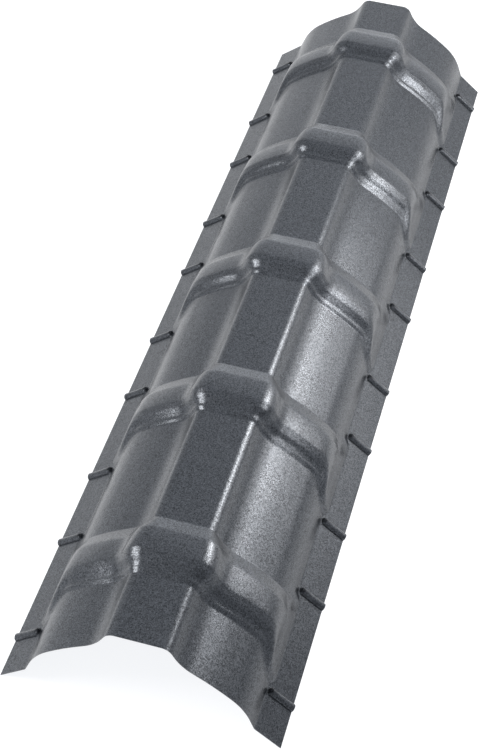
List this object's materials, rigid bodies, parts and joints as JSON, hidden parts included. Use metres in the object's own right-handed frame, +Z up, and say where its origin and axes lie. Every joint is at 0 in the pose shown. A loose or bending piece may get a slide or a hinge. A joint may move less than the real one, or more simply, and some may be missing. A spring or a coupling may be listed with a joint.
{
  "type": "roof ridge cap",
  "caption": "Pressed sheet steel ridge cap with a flat crown, sloping shoulders, steep walls, stepped collars at a steady pitch and beaded side flanges, covering the joint along a roof ridge.",
  "frame": {"origin": "middle of the plan, on the level of the flange edges that stand on the floor", "axes": "+X across the ridge, +Y along the ridge from the end the flared lips face to the other end, +Z up"},
  "size_m": [0.313, 1.1936, 0.1342],
  "materials": {
    "coated_steel": "semi-matt graphite grey coil coating with a fine grain"
  },
  "bodies": {
    "root": {"ridge_cap": "coated_steel"}
  },
  "joints": []
}
